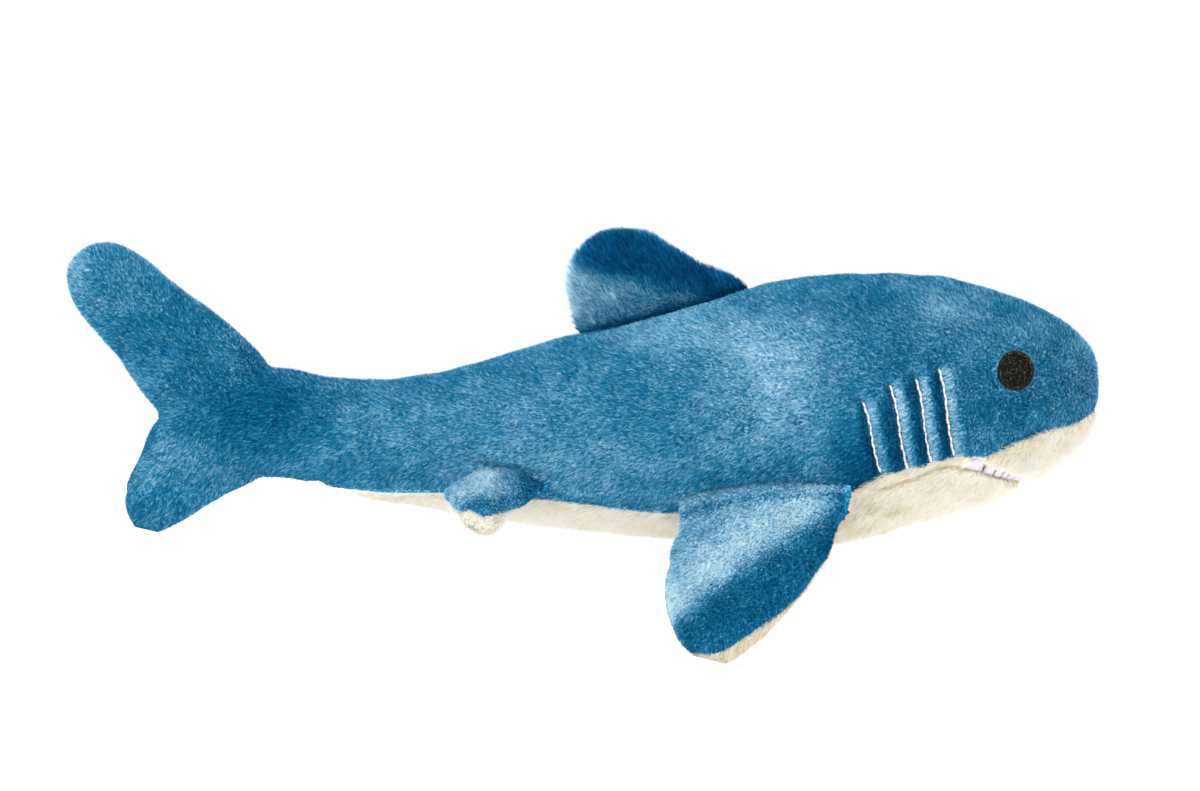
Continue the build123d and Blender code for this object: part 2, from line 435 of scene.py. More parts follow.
def body_tone(p):
    """Painted sheen and shade on the pile, darker below zero and lighter above, over random mottling; strokes
    are x, z, width, height, tone.
    """
    x, z = p[:, 0], p[:, 2]
    # Strokes of painted sheen (tone above zero) and painted shade (tone below zero)
    strokes = [
        (-112, 10, 22, 15, -0.75), (-144, 37, 16, 13, -0.35), (-177, 63, 6, 9, 0.8), (-142, -8, 12, 8, 0.25),
        (30, 38, 24, 10, 0.70), (67, 21, 19, 19, 0.95), (-22, 5, 40, 18, 0.20), (6, -9, 35, 10, 0.22),
        (103, 38, 10, 14, -0.30), (124, 42, 30, 12, 0.30), (147, 9, 18, 13, -0.25), (173, 26, 9, 16, 0.35),
        (96, -9, 8, 15, -1.20), (-70, 8, 26, 12, 0.12),
    ]
    # Painted shade along the creases at the fin roots, plus the painted light and shade of the gills
    tone = 0.16 * waves(p, 18, 8) + gill_painted_light(p) - 1.3 * root_crease(p, 1.0)
    # Painted rim highlight along the top edges of the tail
    tone += 0.4 * bump(p[:, 1], 2.5) * (x < -112) * (z > 10)
    # Painted shade on the tail along its middle seam, low down
    tone -= 0.9 * bump(p[:, 1], 3) * bump(x + 150, 9) * bump(z + 3, 10)
    for at_x, at_z, wide, high, strength in strokes:
        tone += strength * bump(x - at_x, wide) * bump(z - at_z, high)
    cream = (z < flank(x)) & (x > -92)
    over, sewn, _ = jaw_parts(p)
    # Painted shade along the blue and cream seam and along the jaw seam, over slight random mottling
    cream_shade_and_mottle = -0.35 * bump(seam_distance(p), 2.2) - 1.0 * bump(over, 0.8) * sewn + 0.08 * waves(p, 10, 9)
    # Painted shade on the belly under the pectoral fins
    cream_shade_and_mottle -= 0.45 * bump(x - 75, 35)
    # Painted shade inside the mouth slot
    cream_shade_and_mottle -= 1.5 * slot_share(p)
    return np.where(cream, cream_shade_and_mottle, tone)


def body_pile(p):
    """Length of the pile: short beside seams, none under the threads, the eye and in the mouth."""
    length = 1 - 0.45 * bump(seam_distance(p), 2.2) - 0.35 * bump(back_distance(p), 1.6)
    over, sewn, _ = jaw_parts(p)
    length -= 0.55 * bump(over, 1.1) * sewn + 0.5 * root_crease(p, 1.3)
    length -= 0.5 * bump(over - mouth_top(p[:, 0]) - 0.8, 1.5) * (1 - sewn) * (p[:, 0] < 156)
    length *= 1 - slot_share(p)
    for gill in GILLS:
        t, off = along_gill(p, gill)
        inside = (t > -0.02) & (t < 1.03)
        length *= np.where(inside, step(np.abs(off), 0.3, 1.8), 1)
    eye = np.hypot((p[:, 0] - EYE_AT[0]) / EYE_RADII[0], (p[:, 2] - EYE_AT[1]) / EYE_RADII[1])
    return np.clip(length, 0, 1) * step(eye, 0.98, 1.3)


# ---------------------------------------------------------------- fins
def fin_skin(nodes, fin, reshape):
    """A fin's closed skin, reshaped in its own axes."""
    skin = remeshed(nodes, FIN_VOXEL)
    skin.smooth(5)
    skin.points = fin.level(reshape(fin.local(skin.points), fin.length))
    return skin


def pectoral_shape(local, length):
    """The root carried on into the body, less and thinner towards its front end."""
    u, v, n = local.T
    front = step(u, 0.4 * length, length)
    root = (6 - 4.5 * front) * (1 - step(v, -1, 6))
    thin = 1 - 0.35 * front * (1 - step(v, 2, 14))
    return np.stack([u + 1.5 * front * (1 - step(v, 0, 9)), v - root, n * thin], 1)


def pelvic_shape(local, length):
    """Fuller behind, with the tip drawn forward and down and the front of the root thin."""
    u, v, n = local.T
    full = 5 * bump(v - 5, 6) * (1 - step(u, 0, 12))
    long = 2.5 * step(v, 8, 22)
    thin = 1 - 0.25 * (1 - step(v, 5, 12)) - 0.2 * step(u, 12, length)
    root = 4 * (1 - step(v, -1, 6))
    return np.stack([u - full + 3.8 * long, v + long - root, n * thin], 1)


def dorsal_shape(local, length):
    """Front end drawn out into a low point, and the root carried on into the back."""
    u, v, n = local.T
    height = v + DORSAL_LIFT
    taper = np.clip((u - length / 2) / (length / 2), 0, 1) ** 1.2
    height = np.where(height > 0, height * (1 - 0.75 * taper), height)
    root = 4 * (1 - step(height, 0, 8))
    return np.stack([u + 7 * taper, height - DORSAL_LIFT - root, n * (1 - 0.35 * taper)], 1)


def shape_fin(skin, fin, seed, seam_at):
    """Lumps and the edge seam; returns the points in the fin's axes and their distance over the seam."""
    local = fin.local(skin.points)
    normal = skin.normals()
    move = 0.45 * waves(skin.points, 14, seed) + 0.2 * waves(skin.points, 6, seed + 1) - 0.7
    edge = bump(local[:, 2] - seam_at(local), 1.3)
    move -= 0.7 * edge * (local[:, 1] > 3) * (1 + 0.4 * np.sin(local[:, 0] * 0.9 + local[:, 1] * 0.7))
    skin.points = skin.points + normal * move[:, None]
    skin.smooth(1)
    local = fin.local(skin.points)
    off = local[:, 2] - seam_at(local)
    near = np.abs(off) < 0.5 * FIN_VOXEL
    local[near, 2] -= off[near]
    skin.points = fin.level(local)
    return local, off


def make_fin(nodes, fin, faces, reshape, seed, tone_of, seam_at, bend):
    """Both fabric faces of a fin, first the one that n points out of; bend, a span along v, gives two points
    that are not used.
    """
    skin = fin_skin(nodes, fin, reshape)
    local, off = shape_fin(skin, fin, seed, seam_at)
    above = off[skin.quads].mean(1) > 0
    nap = np.tile(fin.v - 0.35 * fin.u, (len(local), 1))
    length = 1 - 0.4 * bump(off, 1.5) * (local[:, 1] > 3)
    length -= 0.4 * step(local[:, 0], fin.length - 14, fin.length)
    middle = fin.length / 2
    start, end = (row_point(*fin.level(np.array([[middle, v, 0]]))[0]) for v in bend)
    for (name, fabric, replaced), chosen in zip(faces, (above, ~above)):
        obj = piece(name, skin, chosen, nap, tone_of(local), length, FIN_SKIN)
        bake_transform(obj)
        dress(obj, fabric)
        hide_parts(*replaced)


def pectoral_tone(local):
    """A painted light band across from the rear edge to the root, painted shade ahead of it and a painted
    dark crease along the root.
    """
    u, v = local[:, 0], local[:, 1]
    across = u + 1.6 * v
    tone = 0.7 + 0.8 * bump(across - 43, 17) - 1.35 * step(across, 50, 72) - 1.1 * step(u, 47, 57)
    return tone + 0.14 * waves(local, 12, 21) - 0.6 * bump(v + 4, 1.5)


def pectoral_seam(side):
    """Blue wraps over the rear edge; cream shows along the tip and the leading edge."""
    def at(local):
        u, v = local[:, 0], local[:, 1]
        return side * (-2.4 + 1.9 * step(u + 0.9 * v, 42, 62) + 2.8 * step(v, 34, 50) * step(u, 0, 6))
    return at


def pelvic_tone(local):
    """Painted light behind, painted shade to the front and the tip."""
    u, v = local[:, 0], local[:, 1]
    light = 1.5 * bump(u - 3, 11) * (1 - 0.75 * step(v, 9, 17))
    return light - 0.7 * step(u, 14, 22) - 0.4 * step(v, 12, 18) + 0.15 * waves(local, 8, 22)


def pelvic_seam(side):
    """Cream shows under the tip and along the front."""
    def at(local):
        u, v = local[:, 0], local[:, 1]
        tip = 1.6 * step(v, 8, 17) * step(u, -1, 5)
        return side * (1.4 + tip - 3.2 * (1 - step(u, -3, 3)) - 4.5 * step(u, 11, 21))
    return at


def dorsal_tone(local):
    """Painted shade over a slanting line, painted highlights along the rim and low at the rear, and painted
    shade at the root.
    """
    u, v, n = local.T
    height = v + DORSAL_LIFT
    dark = step(height + 0.5 * u, 20, 27) * step(u, -2, 8)
    painted_rim_light = 1.5 * bump(n, 2.2) * (height > 6) * (1 - 0.7 * step(u, 36, 46))
    tone = 0.35 - 1.45 * dark + painted_rim_light + 0.7 * bump(u - 4, 7) * bump(height - 18, 6)
    return tone + 0.2 * waves(local, 7, 27) - 1.2 * bump(height, 1.4)


def middle_seam(local):
    """A seam that runs round the middle of the fin's edge."""
    return 0 * local[:, 0]


# ---------------------------------------------------------------- materials
def rgb(hexcode):
    """Linear colour with alpha from a display colour in hexadecimal."""
    out = []
    for i in (0, 2, 4):
        c = int(hexcode[i:i + 2], 16) / 255
        out.append(c / 12.92 if c <= 0.04045 else ((c + 0.055) / 1.055) ** 2.4)
    return (*out, 1.0)


class Nodes:
    """Short way to write a node tree."""

    def __init__(self, tree):
        self.tree = tree

    def add(self, kind, **settings):
        node = self.tree.nodes.new(kind)
        for key, value in settings.items():
            if key.startswith("_"):
                node.inputs[key[1:]].default_value = value
            else:
                setattr(node, key, value)
        return node

    def link(self, a, b):
        self.tree.links.new(a, b)

    def math(self, operation, *values):
        node = self.add("ShaderNodeMath", operation=operation)
        for socket, value in zip(node.inputs, values):
            if isinstance(value, (int, float)):
                socket.default_value = value
            else:
                self.link(value, socket)
        return node.outputs[0]

    def vector(self, operation, a, b=None, scale=None):
        node = self.add("ShaderNodeVectorMath", operation=operation)
        self.link(a, node.inputs[0])
        if b is not None:
            if isinstance(b, tuple):
                node.inputs[1].default_value = b
            else:
                self.link(b, node.inputs[1])
        if scale is not None:
            if isinstance(scale, (int, float)):
                node.inputs["Scale"].default_value = scale
            else:
                self.link(scale, node.inputs["Scale"])
        return node.outputs[0]


def plush_material(name, colours, spread, strand):
    """Pile fabric: the tone from the mesh, which holds painted sheen and shade, and mottling pick a colour;
    the backing has a bump too.
    """
    material = bpy.data.materials.new(name)
    material.use_nodes = True
    tree = Nodes(material.node_tree)
    shader = material.node_tree.nodes["Principled BSDF"]
    rest = tree.add("ShaderNodeAttribute", attribute_name="rest")
    tone = tree.add("ShaderNodeAttribute", attribute_name="tone")
    coarse = tree.add("ShaderNodeTexNoise", _Scale=0.12, _Detail=3.0)
    fine = tree.add("ShaderNodeTexNoise", _Scale=1.45, _Detail=2.0)
    tree.link(rest.outputs["Vector"], coarse.inputs["Vector"])
    tree.link(rest.outputs["Vector"], fine.inputs["Vector"])
    level = tree.math("MULTIPLY_ADD", tone.outputs["Fac"], 0.28, 0.5)
    for noise, amount in ((coarse, 0.35), (fine, spread)):
        centred = tree.math("SUBTRACT", noise.outputs["Fac"], 0.5)
        level = tree.math("ADD", level, tree.math("MULTIPLY", centred, amount))
    ramp = tree.add("ShaderNodeValToRGB")
    ramp.color_ramp.interpolation = "EASE"
    ramp.color_ramp.elements[0].color = rgb(colours[0])
    ramp.color_ramp.elements[1].color = rgb(colours[-1])
    for position, colour in zip((0.22, 0.5, 0.78), colours[1:-1]):
        ramp.color_ramp.elements.new(position).color = rgb(colour)
    tree.link(level, ramp.inputs["Fac"])
    tree.link(ramp.outputs["Color"], shader.inputs["Base Color"])
    shader.inputs["Roughness"].default_value = 0.8
    shader.inputs["Specular IOR Level"].default_value = 0.06
    shader.inputs["Sheen Weight"].default_value = 0.0 if strand else 0.05
    if not strand:
        stretched = tree.vector("MULTIPLY", rest.outputs["Vector"], (0.55, 1.4, 1.4))
        pile = tree.add("ShaderNodeTexNoise", _Scale=1.3, _Detail=3.0)
        tree.link(stretched, pile.inputs["Vector"])
        relief = tree.add("ShaderNodeBump", _Strength=0.9, _Distance=0.0012)
        tree.link(pile.outputs["Fac"], relief.inputs["Height"])
        tree.link(relief.outputs["Normal"], shader.inputs["Normal"])
    return material


def thread_material(name, colour, roughness, glint_specks=False):
    """Thread or felt mottled between two colours; the glint flag keeps the lighter one to small bright
    points, painted glints on the thread.
    """
    material = bpy.data.materials.new(name)
    material.use_nodes = True
    tree = Nodes(material.node_tree)
    shader = material.node_tree.nodes["Principled BSDF"]
    place = tree.add("ShaderNodeTexCoord")
    noise = tree.add("ShaderNodeTexNoise", _Scale=1500.0, _Detail=3.0)
    tree.link(place.outputs["Object"], noise.inputs["Vector"])
    mix = tree.add("ShaderNodeMix", data_type="RGBA")
    mix.inputs["A"].default_value = rgb(colour[0])
    mix.inputs["B"].default_value = rgb(colour[1])
    share = noise.outputs["Fac"]
    if glint_specks:
        share = tree.math("POWER", tree.math("MULTIPLY", share, 1.3), 8.0)
    tree.link(share, mix.inputs["Factor"])
    tree.link(mix.outputs["Result"], shader.inputs["Base Color"])
    shader.inputs["Roughness"].default_value = roughness
    shader.inputs["Specular IOR Level"].default_value = 0.12
    relief = tree.add("ShaderNodeBump", _Strength=0.5, _Distance=0.0002)
    tree.link(noise.outputs["Fac"], relief.inputs["Height"])
    tree.link(relief.outputs["Normal"], shader.inputs["Normal"])
    return material


def fur_group(name, material, density, length, lean, frizz, tuft_scale, radius, seed):
    """Pile strands grown over the outside of a panel, bent along the nap."""
    group = bpy.data.node_groups.new(name, "GeometryNodeTree")
    group.interface.new_socket("Geometry", in_out="INPUT", socket_type="NodeSocketGeometry")
    group.interface.new_socket("Panel", in_out="INPUT", socket_type="NodeSocketObject")
    group.interface.new_socket("Geometry", in_out="OUTPUT", socket_type="NodeSocketGeometry")
    tree = Nodes(group)
    start = tree.add("NodeGroupInput")
    panel = tree.add("GeometryNodeObjectInfo", transform_space="RELATIVE")
    tree.link(start.outputs["Panel"], panel.inputs["Object"])
    pile = tree.add("GeometryNodeInputNamedAttribute", data_type="FLOAT", _Name="pile")
    nap = tree.add("GeometryNodeInputNamedAttribute", data_type="FLOAT_VECTOR", _Name="nap")
    rest = tree.add("GeometryNodeInputNamedAttribute", data_type="FLOAT_VECTOR", _Name="rest")
    roots = tree.add("GeometryNodeDistributePointsOnFaces", distribute_method="RANDOM", _Seed=seed)
    outside = tree.math("GREATER_THAN", pile.outputs["Attribute"], 0.2)
    tree.link(panel.outputs["Geometry"], roots.inputs["Mesh"])
    tree.link(tree.math("MULTIPLY", outside, density), roots.inputs["Density"])
    tuft = tree.add("ShaderNodeTexNoise", _Scale=tuft_scale, _Detail=1.0)
    tree.link(rest.outputs["Attribute"], tuft.inputs["Vector"])
    sway = tree.add("ShaderNodeTexNoise", _Scale=0.13, _Detail=1.0)
    tree.link(rest.outputs["Attribute"], sway.inputs["Vector"])
    loose = tree.add("FunctionNodeRandomValue", data_type="FLOAT_VECTOR", _Seed=seed + 1)
    loose.inputs["Min"].default_value = (-1, -1, -1)
    loose.inputs["Max"].default_value = (1, 1, 1)
    brushed = tree.vector("SCALE", nap.outputs["Attribute"], scale=lean)
    way = tree.vector("ADD", roots.outputs["Normal"], brushed)
    for noise, amount in ((tuft.outputs["Color"], frizz), (sway.outputs["Color"], 1.2)):
        centred = tree.vector("SUBTRACT", noise, (0.5, 0.5, 0.5))
        way = tree.vector("ADD", way, tree.vector("SCALE", centred, scale=amount))
    way = tree.vector("ADD", way, tree.vector("SCALE", loose.outputs["Value"], scale=0.16))
    turn = tree.add("FunctionNodeAlignRotationToVector", axis="Z")
    tree.link(way, turn.inputs["Vector"])
    size = tree.add("FunctionNodeRandomValue", data_type="FLOAT", _Seed=seed + 2)
    size.inputs[2].default_value = length * 0.65
    size.inputs[3].default_value = length * 1.1
    line = tree.add("GeometryNodeCurvePrimitiveLine")
    line.inputs["End"].default_value = (0, 0, 1)
    strand = tree.add("GeometryNodeResampleCurve", _Count=4)
    tree.link(line.outputs["Curve"], strand.inputs["Curve"])
    grown = tree.add("GeometryNodeInstanceOnPoints")
    tree.link(roots.outputs["Points"], grown.inputs["Points"])
    tree.link(strand.outputs["Curve"], grown.inputs["Instance"])
    tree.link(turn.outputs["Rotation"], grown.inputs["Rotation"])
    tree.link(tree.math("MULTIPLY", size.outputs[1], pile.outputs["Attribute"]), grown.inputs["Scale"])
    real = tree.add("GeometryNodeRealizeInstances")
    tree.link(grown.outputs["Instances"], real.inputs["Geometry"])
    along = tree.add("GeometryNodeSplineParameter")
    bent = tree.add("GeometryNodeSetPosition")
    tree.link(real.outputs["Geometry"], bent.inputs["Geometry"])
    curl = tree.math("MULTIPLY", tree.math("POWER", along.outputs["Factor"], 2.0), length * 0.35)
    tree.link(tree.vector("SCALE", nap.outputs["Attribute"], scale=curl), bent.inputs["Offset"])
    thin = tree.add("GeometryNodeSetCurveRadius")
    tree.link(bent.outputs["Geometry"], thin.inputs["Curve"])
    taper = tree.math("SUBTRACT", 1.0, tree.math("MULTIPLY", along.outputs["Factor"], 0.75))
    tree.link(tree.math("MULTIPLY", taper, radius), thin.inputs["Radius"])
    paint = tree.add("GeometryNodeSetMaterial")
    paint.inputs["Material"].default_value = material
    tree.link(thin.outputs["Curve"], paint.inputs["Geometry"])
    end = tree.add("NodeGroupOutput")
    tree.link(paint.outputs["Geometry"], end.inputs[0])
    return group


THIN = 1.0     # share of the strands that are grown
STRAND_RADIUS = 0.00008
# Colours from the darkest painted shade to the lightest painted sheen, which also carry the mottling
BLUES = ("004670", "006795", "2290b8", "90cae1", "e0f2f8")
DARK_BLUES = ("003e6c", "006298", "2089b2", "8cc6dc", "e0f2f8")
CREAMS = ("d0be98", "e2d6b8", "fbf8ee", "ffffff", "ffffff")
# Colours, spread of the mottling, then the pile's strands a square metre, length in metres, lean along
# the nap, frizz and tufts a millimetre
FABRICS = {
    "blue_plush": (BLUES, 1.65, 12.0e6, 0.0013, 0.4, 2.4, 1.2),
    "dark_plush": (DARK_BLUES, 1.50, 8.5e6, 0.0027, 0.5, 3.4, 0.85),
    "cream_plush": (CREAMS, 1.00, 8.5e6, 0.0024, 0.8, 1.6, 0.8),
}
fabrics = {}
for fabric, (colours, spread, density, length, lean, frizz, tuft_scale) in FABRICS.items():
    strand = plush_material(fabric + "_strand", colours, spread, True)
    backing = plush_material(fabric, colours, spread, False)
    group = fur_group(fabric + "_pile", strand, density * THIN, length, lean, frizz, tuft_scale,
                      STRAND_RADIUS / THIN ** 0.5, len(fabrics) * 10)
    fabrics[fabric] = (backing, group)


def dress(obj, fabric):
    """Gives a panel its backing, and a hair object that grows its pile."""
    backing, group = fabrics[fabric]
    obj.data.materials.append(backing)
    hair = bpy.data.objects.new(obj.name + "_pile", bpy.data.hair_curves.new(obj.name + "_pile"))
    bpy.context.scene.collection.objects.link(hair)
    fur = hair.modifiers.new("pile", "NODES")
    fur.node_group = group
    fur[group.interface.items_tree["Panel"].identifier] = obj


# ---------------------------------------------------------------- build the soft pieces
BODY_NODES = ["torso_stuffing", "side_panel_left", "side_panel_right", "belly_panel", "snout_panel",
              "teeth_strip", "tail_stuffing", "tail_panel_left", "tail_panel_right"]
PANEL_NODES = {
    "flank_left": ("blue_plush", ["side_panel_left", "tail_panel_left"]),
    "flank_right": ("blue_plush", ["side_panel_right", "tail_panel_right"]),
    "belly": ("cream_plush", ["belly_panel", "torso_stuffing", "tail_stuffing"]),
    "snout": ("cream_plush", ["snout_panel"]),
}


def body_nap(p):
    """The nap runs back along the body, then out along both lobes of the tail."""
    lobe = step(-p[:, 0], 112, 135)[:, None]
    upward = step(p[:, 2], 2, 16)[:, None]
    along_lobes = np.array([-0.75, 0, 0.66]) * upward + np.array([-0.6, 0, -0.8]) * (1 - upward)
    return np.array([-1.0, 0, -0.25]) * (1 - lobe) + along_lobes * lobe


def build_body():
    """The four body panels; returns a search tree of the body without its seams, for the thread work."""
    body = remeshed(BODY_NODES, BODY_VOXEL)
    plain = shape_body(body)
    panels = split_body(body)
    nap, tone, length = body_nap(body.points), body_tone(body.points), body_pile(body.points)
    for name, (fabric, nodes) in PANEL_NODES.items():
        obj = piece(name, body, panels[name], nap, tone, length, SKIN)
        if name == "snout":
            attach(obj, "torso")
        else:
            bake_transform(obj)
        dress(obj, fabric)
        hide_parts(*nodes)
    points = [Vector(p) for p in from_level(plain.points)]
    return BVHTree.FromPolygons(points, [tuple(dict.fromkeys(q)) for q in plain.quads.tolist()])


def on_body(origin, direction):
    """Where a ray leaves the body as it was before its seams and tucks, and the normal there, both level."""
    start = Vector(row_point(*origin))
    way = Vector(turn_to_row(np.array([direction], float))[0])
    hit, normal, _, _ = body_tree.ray_cast(start + way * 0.12, -way)
    return to_level(np.array([hit]))[0], turn_to_level(np.array([normal]))[0]


def side_fin(kind, side, word, root, reshape, seed, tone_of, seam, bend):
    """A paired fin; its n points out of the upper face on the left and out of the lower one on the right."""
    top, underside, stuffing = (f"{kind}_{word}_{part}" for part in ("top", "underside", "stuffing"))
    upper = (f"{kind}_{word}_upper", "blue_plush", [top])
    lower = (f"{kind}_{word}_lower", "cream_plush", [underside])
    faces = [upper, lower] if side == 1 else [lower, upper]
    faces[0][2].append(stuffing)
    make_fin([top, underside, stuffing], FinFrame(root, side), faces, reshape, seed,
             tone_of, seam(side), bend)


def dorsal_fin():
    right, left, stuffing = "dorsal_panel_right", "dorsal_panel_left", "dorsal_stuffing"
    faces = [("dorsal_right", "dark_plush", [right, stuffing]), ("dorsal_left", "dark_plush", [left])]
    make_fin([right, left, stuffing], FinFrame(DORSAL_ROOT, 1), faces, dorsal_shape, 51,
             dorsal_tone, middle_seam, (-5, 10))


body_tree = build_body()
for side, word in ((1, "left"), (-1, "right")):
    side_fin("pectoral", side, word, PECTORAL_ROOT, pectoral_shape, 31, pectoral_tone, pectoral_seam,
             (-5, 13))
    side_fin("pelvic", side, word, PELVIC_ROOT, pelvic_shape, 41, pelvic_tone, pelvic_seam, (-5, 9))
dorsal_fin()


# ---------------------------------------------------------------- thread work
GILL_RADIUS = 0.47
GILL_STITCH = 2.0
EYE_RING = 0.76              # share of the eye's radius where its satin ring starts
EYE_RING_STITCHES = 84
EYE_ROWS = 21


def tubes(name, paths, radii, material, nodes, sides=6):
    """Short lengths of thread as one piece on the torso; paths in level millimetres."""
    points, faces = [], []
    for path, radius in zip(paths, radii):
        path = np.asarray(path, float)
        tangent = np.gradient(path, axis=0)
        tangent /= np.linalg.norm(tangent, axis=1, keepdims=True)
        helper = np.array([0.2, 1.0, 0.1])
        a = np.cross(tangent, helper)
        a /= np.linalg.norm(a, axis=1, keepdims=True)
        b = np.cross(tangent, a)
        base = len(points)
        last = len(path) - 1
        for i, centre in enumerate(path):
            girth = radius * (0.55 if i in (0, last) else 1.0)
            for k in range(sides):
                turn = 2 * math.pi * k / sides
                points.append(centre + girth * (math.cos(turn) * a[i] + math.sin(turn) * b[i]))
        for i in range(last):
            for k in range(sides):
                low, high = base + i * sides, base + (i + 1) * sides
                faces.append((low + k, low + (k + 1) % sides, high + (k + 1) % sides, high + k))
        faces.append(tuple(base + k for k in reversed(range(sides))))
        faces.append(tuple(base + last * sides + k for k in range(sides)))
    mesh = bpy.data.meshes.new(name)
    mesh.from_pydata(from_level(np.array(points)).tolist(), [], faces)
    mesh.shade_smooth()
    mesh.materials.append(material)
    obj = bpy.data.objects.new(name, mesh)
    bpy.context.scene.collection.objects.link(obj)
    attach(obj, "torso")
    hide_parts(*nodes)


def gill_threads(side, word, material):
    """Fat stitches laid end to end in each tuck."""
    rng = np.random.default_rng(7)
    paths, radii = [], []
    for x0, z0, x1, z1 in GILLS:
        stitches = int(abs(z1 - z0) / GILL_STITCH)
        for i in range(stitches):
            path = []
            for t in np.linspace(i / stitches, (i + 1.1) / stitches, 5):
                x = x0 + t * (x1 - x0) + 0.25 * math.sin(7 * t) - 0.9 * (1 - t) ** 5 + 0.15 * math.sin(40 * t)
                hit, _ = on_body((x, 0, z0 + t * (z1 - z0)), (0, side, 0))
                crown = math.sin(math.pi * min((t * stitches - i) / 1.1, 1))
                path.append(hit + np.array([0, side * (0.35 * crown - 0.7), 0]))
            paths.append(path)
            radii.append(GILL_RADIUS * rng.uniform(0.8, 1.15))
    tubes(f"gill_stitching_{word}", paths, radii, material, [f"gill_stitches_{word}"])


def eye(side, word, material):
    """Satin-stitched ring round a field of short parallel stitches."""
    rng = np.random.default_rng(11)
    paths, radii = [], []

    def at(x, z, lift):
        hit, normal = on_body((EYE_AT[0] + x, 0, EYE_AT[1] + z), (0, side, 0))
        return hit + normal * lift

    for i in range(EYE_RING_STITCHES):
        turn = 2 * math.pi * i / EYE_RING_STITCHES
        path = []
        for k, share in enumerate(np.linspace(EYE_RING, 1.02, 5)):
            lean = turn + 0.10 * share
            lift = 1.5 + 1.0 * math.sin(math.pi * k / 4)
            x, z = EYE_RADII[0] * share * math.cos(lean), EYE_RADII[1] * share * math.sin(lean)
            path.append(at(x, z, lift))
        paths.append(path)
        radii.append(0.27)
    field_x, field_z = EYE_RADII[0] * EYE_RING, EYE_RADII[1] * EYE_RING
    for i in range(EYE_ROWS):
        z = field_z * (2 * (i + 0.5) / EYE_ROWS - 1)
        reach = field_x * math.sqrt(max(1 - (z / field_z) ** 2, 0))
        edge = -reach + rng.uniform(0, 0.6)
        while edge < reach - 0.3:
            stop = min(edge + rng.uniform(1.3, 2.2), reach)
            path = []
            for k, x in enumerate(np.linspace(edge, stop, 4)):
                path.append(at(x + 0.25 * z, z, 1.1 + 0.45 * math.sin(math.pi * k / 3)))
            paths.append(path)
            radii.append(0.25)
            edge = stop - 0.05
    tubes(f"eye_{word}_embroidery", paths, radii, material, [f"eye_{word}"])


def eye_backing(side, word, material):
    """Thin dark felt-like ground under the eye's stitches."""
    rings, spokes = 7, 40
    shares = [0.97 * r / rings for r in range(1, rings + 1)]
    turns = [2 * math.pi * k / spokes for k in range(spokes)]
    spots = [(0, 0)] + [(share * math.cos(t), share * math.sin(t)) for share in shares for t in turns]
    hits = [on_body((EYE_AT[0] + EYE_RADII[0] * x, 0, EYE_AT[1] + EYE_RADII[1] * z), (0, side, 0))
            for x, z in spots]
    outer = np.array([hit + normal * 1.2 for hit, normal in hits])
    inner = np.array([hit - normal * 0.6 for hit, normal in hits])
    count = len(outer)
    faces = [(0, 1 + k, 1 + (k + 1) % spokes) for k in range(spokes)]
    for r in range(rings - 1):
        for k in range(spokes):
            a, b = 1 + r * spokes + k, 1 + r * spokes + (k + 1) % spokes
            faces.append((a, a + spokes, b + spokes, b))
    under = [tuple(i + count for i in f[::-1]) for f in faces]
    last = 1 + (rings - 1) * spokes
    rim = []
    for k in range(spokes):
        a, b = last + k, last + (k + 1) % spokes
        rim.append((b, a, a + count, b + count))
    mesh = bpy.data.meshes.new(f"eye_{word}_ground")
    mesh.from_pydata(from_level(np.concatenate([outer, inner])).tolist(), [], faces + under + rim)
    mesh.shade_smooth()
    mesh.materials.append(material)
    obj = bpy.data.objects.new(mesh.name, mesh)
    bpy.context.scene.collection.objects.link(obj)
    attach(obj, "torso")
    return obj


def teeth(material):
    """Felt teeth standing in the mouth slot, each a slightly rounded tab leaning forward."""
    edges = [92, 75, 63, 53, 43, 32, 20, 7]
    edges += [-e for e in reversed(edges)]
    points, faces = [], []
    rows, columns = 5, 7
    line_z = float(jaw(np.array([MOUTH_CORNER_X]))[0])
    for first, last in zip(edges, edges[1:]):
        base = len(points)
        for depth in (0.9, 2.1):
            for i in range(columns):
                share = 2 * i / (columns - 1) - 1
                middle, half = (first + last) / 2, (last - first) / 2 + 0.8
                tall = float(np.interp(abs(middle + share * half), [50, 60, 78, 91], [3.6, 4.2, 5.0, 2.4]))
                low = -0.5 + 0.7 * share ** 4
                for j in range(rows):
                    up = low + (tall - low) * j / (rows - 1)
                    narrow = 1 - 0.45 * j / (rows - 1)
                    turn = math.radians(middle + share * half * narrow - math.copysign(0.9 * up, middle))
                    slope = -0.26 * max(math.cos(turn), 0)
                    way = (math.cos(turn), math.sin(turn), slope)
                    hit, normal = on_body((MOUTH_CORNER_X, 0, line_z + up), way)
                    points.append(hit - normal * depth)
        grid = columns * rows
        for i in range(columns - 1):
            for j in range(rows - 1):
                a = base + i * rows + j
                faces.append((a, a + 1, a + rows + 1, a + rows))
                faces.append((a + grid, a + grid + rows, a + grid + rows + 1, a + grid + 1))
        border = [i * rows for i in range(columns)] + [(columns - 1) * rows + j for j in range(1, rows)]
        border += [i * rows + rows - 1 for i in range(columns - 2, -1, -1)] + list(range(rows - 2, 0, -1))
        for a, b in zip(border, border[1:] + border[:1]):
            faces.append((base + a, base + b, base + b + grid, base + a + grid))
    mesh = bpy.data.meshes.new("teeth")
    mesh.from_pydata(from_level(np.array(points)).tolist(), [], faces)
    mesh.shade_smooth()
    mesh.materials.append(material)
    obj = bpy.data.objects.new("teeth", mesh)
    bpy.context.scene.collection.objects.link(obj)
    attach(obj, "torso")
    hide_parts("teeth_strip")


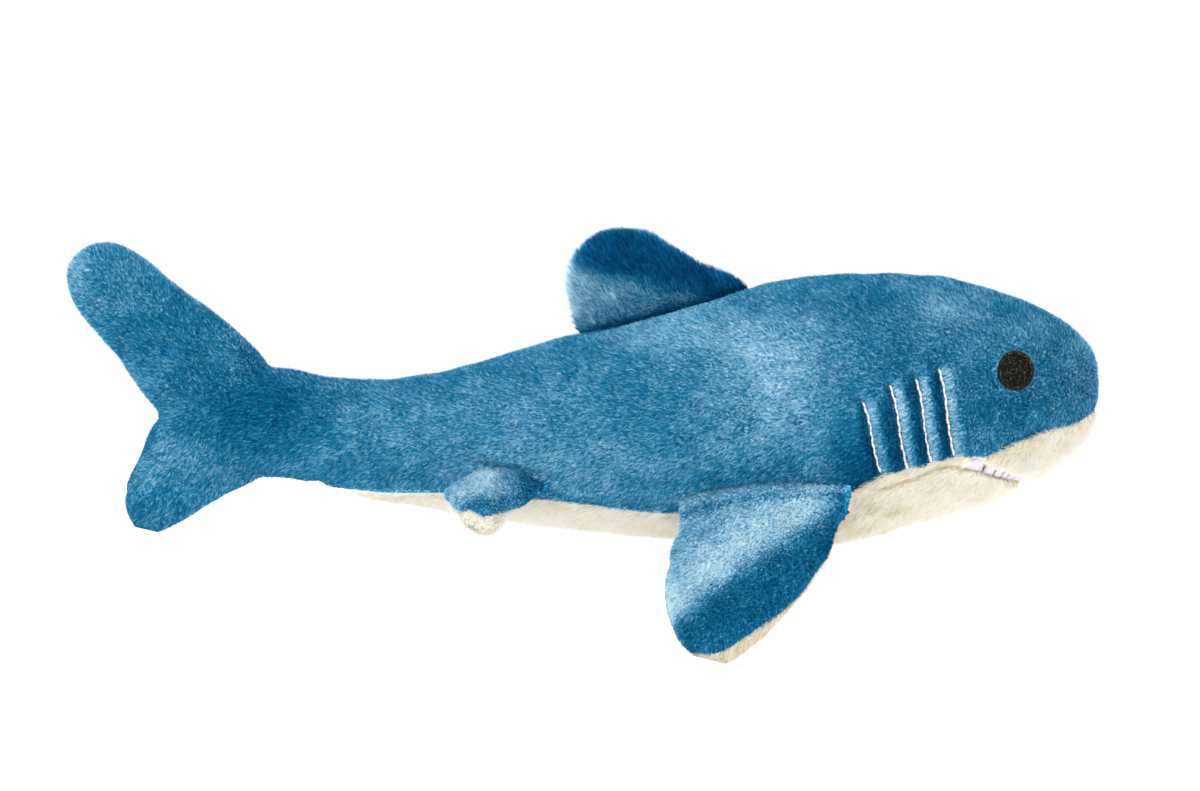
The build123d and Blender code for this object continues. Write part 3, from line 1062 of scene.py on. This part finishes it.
pale = thread_material("pale_thread", ("e3cdd0", "fff6f6"), 0.5)
black = thread_material("black_embroidery", ("030303", "8a857c"), 0.5, True)
felt = thread_material("white_felt", ("c9c4d4", "e4e0ec"), 0.9)
for side, word in ((1, "left"), (-1, "right")):
    gill_threads(side, word, pale)
    eye(side, word, black)
    eye_backing(side, word, black)
teeth(felt)


# ---------------------------------------------------------------- studio
LENS = 900                   # long enough for a view with hardly any perspective
SENSOR = 36
VIEW_WIDTH = 0.4176
VIEW_CENTRE = (5.9, 15.5)    # x and z of the middle of the picture


def floor():
    """White and slightly self-lit, so that it runs into the white surroundings."""
    size = 6.0
    mesh = bpy.data.meshes.new("floor")
    corners = [(-size, -size, 0), (size, -size, 0), (size, size, 0), (-size, size, 0)]
    mesh.from_pydata(corners, [], [(0, 1, 2, 3)])
    material = bpy.data.materials.new("floor")
    material.use_nodes = True
    shader = material.node_tree.nodes["Principled BSDF"]
    shader.inputs["Base Color"].default_value = (0.93, 0.93, 0.93, 1)
    shader.inputs["Roughness"].default_value = 0.9
    shader.inputs["Specular IOR Level"].default_value = 0.0
    shader.inputs["Emission Color"].default_value = (1, 1, 1, 1)
    shader.inputs["Emission Strength"].default_value = 0.4
    mesh.materials.append(material)
    obj = bpy.data.objects.new("floor", mesh)
    bpy.context.scene.collection.objects.link(obj)


def sun(name, direction, softness, power):
    data = bpy.data.lights.new(name, "SUN")
    data.angle = math.radians(softness)
    data.energy = power
    light = bpy.data.objects.new(name, data)
    bpy.context.scene.collection.objects.link(light)
    light.rotation_mode = "QUATERNION"
    light.rotation_quaternion = Vector(direction).to_track_quat("-Z", "Y")


def studio():
    world = bpy.data.worlds.new("studio")
    bpy.context.scene.world = world
    world.use_nodes = True
    background = world.node_tree.nodes["Background"]
    background.inputs["Color"].default_value = (1, 1, 1, 1)
    background.inputs["Strength"].default_value = 1.0
    sun("key", (0.45, 0.75, -0.9), 40, 1.6)
    sun("front", (-0.15, 1.0, -0.15), 60, 0.5)
    bpy.context.scene.view_settings.view_transform = "Standard"


def camera():
    """Side-on at the shark's own level, so the frame is rolled by the pitch it stands at."""
    data = bpy.data.cameras.new("camera")
    data.lens = LENS
    data.sensor_width = SENSOR
    distance = VIEW_WIDTH * LENS / SENSOR
    obj = bpy.data.objects.new("camera", data)
    bpy.context.scene.collection.objects.link(obj)
    place = Vector(row_point(VIEW_CENTRE[0], -distance * 1000, VIEW_CENTRE[1]))
    right, up = turn_to_row(np.array([[1.0, 0, 0], [0, 0, 1.0]]))
    back = np.array([0, -1.0, 0])
    basis = Matrix([list(right), list(up), list(back)]).transposed()
    obj.matrix_world = Matrix.Translation(place) @ basis.to_4x4()
    bpy.context.scene.camera = obj


floor()
studio()
camera()
